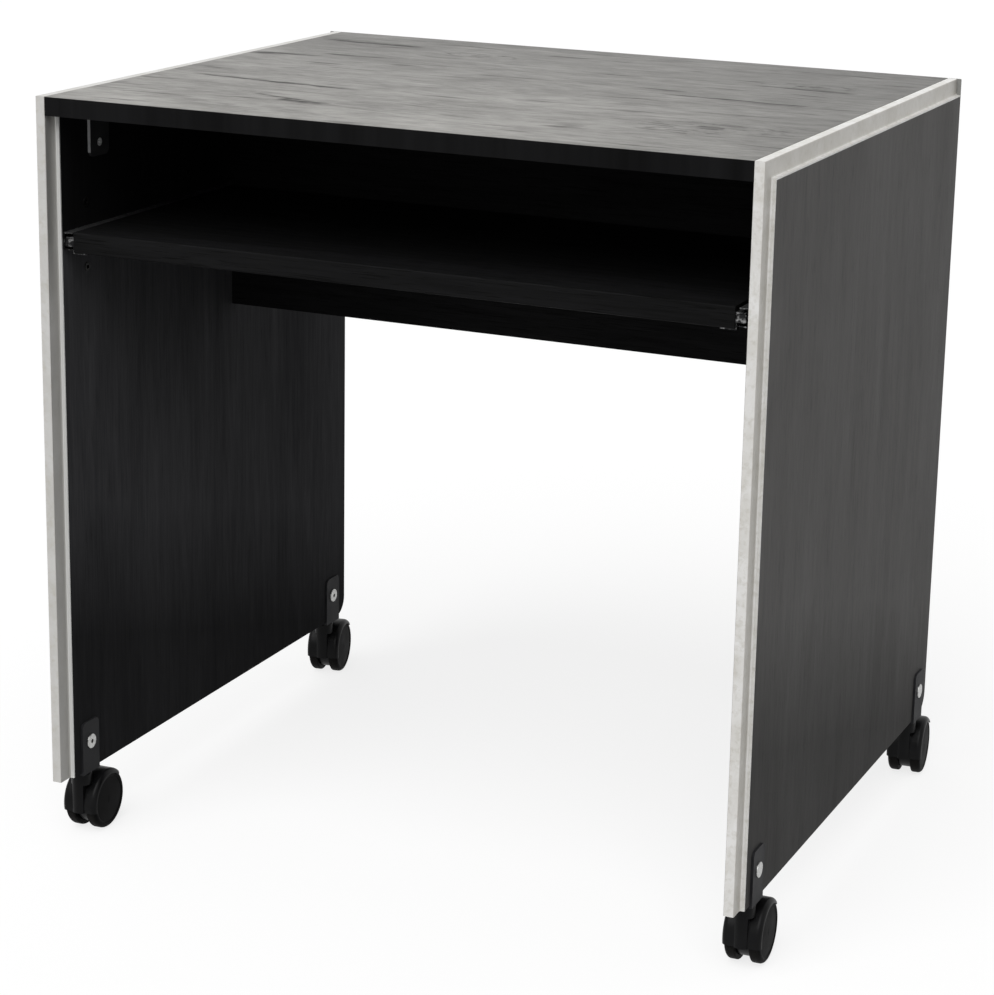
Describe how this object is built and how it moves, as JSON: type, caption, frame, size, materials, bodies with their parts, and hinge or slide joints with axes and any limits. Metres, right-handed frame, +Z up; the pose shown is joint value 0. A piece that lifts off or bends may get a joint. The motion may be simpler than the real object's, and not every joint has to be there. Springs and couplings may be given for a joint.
{
  "type": "rolling computer desk",
  "caption": "Compact open computer desk on swivelling twin-wheel casters, with a pull-out keyboard shelf and a stepped pale edge trim on its side panels.",
  "frame": {"origin": "on the floor under the middle of the desk, casters included", "axes": "+X to the user's right, +Y from the open front to the rear, +Z up"},
  "size_m": [0.7562, 0.6226, 0.757],
  "materials": {
    "worktop": "black-stained oak veneer, satin lacquer",
    "board": "black-stained wood grain, satin",
    "trim": "matt silver, faintly mottled",
    "rail_steel": "zinc-plated cold-rolled steel",
    "cage_steel": "bare pressed steel",
    "ball_steel": "polished",
    "dowel": "fluted beech",
    "fitting": "die-cast zinc and plated steel",
    "screw": "bright zinc plate",
    "bracket": "black enamelled steel",
    "saddle": "black powder-coated steel",
    "stem": "plated steel",
    "hood": "moulded black nylon, semi-gloss",
    "wheel": "moulded black nylon, scuffed tread"
  },
  "bodies": {
    "desk": {"top_board": "worktop", "left_panel": "board", "right_panel": "board", "back_panel": "board", "back_panel_dowels": "dowel", "cam_locks": "fitting", "cam_bolts": "fitting", "rail_screws": "screw", "spare_sleeves": "fitting", "bracket_screws": "screw", "saddle_sleeves": "screw", "saddle_screws": "screw", "snap_rings": "screw", "trim_end_caps": "trim", "left_front_trim": "trim", "left_top_trim": "trim", "left_fixed_rail": "rail_steel", "right_front_trim": "trim", "right_top_trim": "trim", "right_fixed_rail": "rail_steel", "front_left_bracket": "bracket", "front_left_saddle": "saddle", "front_left_stem": "stem", "front_right_bracket": "bracket", "front_right_saddle": "saddle", "front_right_stem": "stem", "rear_left_bracket": "bracket", "rear_left_saddle": "saddle", "rear_left_stem": "stem", "rear_right_bracket": "bracket", "rear_right_saddle": "saddle", "rear_right_stem": "stem"},
    "shelf": {"keyboard_shelf": "board", "shelf_screws": "screw", "left_moving_rail": "rail_steel", "right_moving_rail": "rail_steel"},
    "left_cage": {"left_ball_cage": "cage_steel", "left_balls": "ball_steel"},
    "right_cage": {"right_ball_cage": "cage_steel", "right_balls": "ball_steel"},
    "front_left_caster": {"front_left_hood": "hood", "front_left_axle": "stem"},
    "front_left_outer_wheel": {"front_left_outer_wheel": "wheel"},
    "front_left_inner_wheel": {"front_left_inner_wheel": "wheel"},
    "front_right_caster": {"front_right_hood": "hood", "front_right_axle": "stem"},
    "front_right_outer_wheel": {"front_right_outer_wheel": "wheel"},
    "front_right_inner_wheel": {"front_right_inner_wheel": "wheel"},
    "rear_left_caster": {"rear_left_hood": "hood", "rear_left_axle": "stem"},
    "rear_left_outer_wheel": {"rear_left_outer_wheel": "wheel"},
    "rear_left_inner_wheel": {"rear_left_inner_wheel": "wheel"},
    "rear_right_caster": {"rear_right_hood": "hood", "rear_right_axle": "stem"},
    "rear_right_outer_wheel": {"rear_right_outer_wheel": "wheel"},
    "rear_right_inner_wheel": {"rear_right_inner_wheel": "wheel"}
  },
  "joints": [
    {"name": "shelf_slide", "type": "slide", "parent": "desk", "child": "shelf", "axis": [0, -1, 0], "range_m": [0, 0.225]},
    {"name": "left_cage_slide", "type": "slide", "parent": "desk", "child": "left_cage", "axis": [0, -1, 0], "range_m": [0, 0.1125]},
    {"name": "right_cage_slide", "type": "slide", "parent": "desk", "child": "right_cage", "axis": [0, -1, 0], "range_m": [0, 0.1125]},
    {"name": "front_left_swivel", "type": "hinge", "parent": "desk", "child": "front_left_caster", "pos_m": [-0.3555, -0.2655, 0.0705], "axis": [0, 0, 1], "continuous": true},
    {"name": "front_left_outer_wheel_spin", "type": "hinge", "parent": "front_left_caster", "child": "front_left_outer_wheel", "pos_m": [-0.35634, -0.24151, 0.03], "axis": [0.9994, 0.0349, 0], "continuous": true},
    {"name": "front_left_inner_wheel_spin", "type": "hinge", "parent": "front_left_caster", "child": "front_left_inner_wheel", "pos_m": [-0.35634, -0.24151, 0.03], "axis": [0.9994, 0.0349, 0], "continuous": true},
    {"name": "front_right_swivel", "type": "hinge", "parent": "desk", "child": "front_right_caster", "pos_m": [0.3555, -0.2655, 0.0705], "axis": [0, 0, 1], "continuous": true},
    {"name": "front_right_outer_wheel_spin", "type": "hinge", "parent": "front_right_caster", "child": "front_right_outer_wheel", "pos_m": [0.35466, -0.24151, 0.03], "axis": [0.9994, 0.0349, 0], "continuous": true},
    {"name": "front_right_inner_wheel_spin", "type": "hinge", "parent": "front_right_caster", "child": "front_right_inner_wheel", "pos_m": [0.35466, -0.24151, 0.03], "axis": [0.9994, 0.0349, 0], "continuous": true},
    {"name": "rear_left_swivel", "type": "hinge", "parent": "desk", "child": "rear_left_caster", "pos_m": [-0.3555, 0.2565, 0.0705], "axis": [0, 0, 1], "continuous": true},
    {"name": "rear_left_outer_wheel_spin", "type": "hinge", "parent": "rear_left_caster", "child": "rear_left_outer_wheel", "pos_m": [-0.35967, 0.28014, 0.03], "axis": [0.9848, 0.1736, 0], "continuous": true},
    {"name": "rear_left_inner_wheel_spin", "type": "hinge", "parent": "rear_left_caster", "child": "rear_left_inner_wheel", "pos_m": [-0.35967, 0.28014, 0.03], "axis": [0.9848, 0.1736, 0], "continuous": true},
    {"name": "rear_right_swivel", "type": "hinge", "parent": "desk", "child": "rear_right_caster", "pos_m": [0.3555, 0.2565, 0.0705], "axis": [0, 0, 1], "continuous": true},
    {"name": "rear_right_outer_wheel_spin", "type": "hinge", "parent": "rear_right_caster", "child": "rear_right_outer_wheel", "pos_m": [0.35341, 0.28041, 0.03], "axis": [0.9962, 0.0872, 0], "continuous": true},
    {"name": "rear_right_inner_wheel_spin", "type": "hinge", "parent": "rear_right_caster", "child": "rear_right_inner_wheel", "pos_m": [0.35341, 0.28041, 0.03], "axis": [0.9962, 0.0872, 0], "continuous": true}
  ],
  "couplings": [
    {"joint": "left_cage_slide", "follows": "shelf_slide", "ratio": 0.5},
    {"joint": "right_cage_slide", "follows": "shelf_slide", "ratio": 0.5}
  ]
}
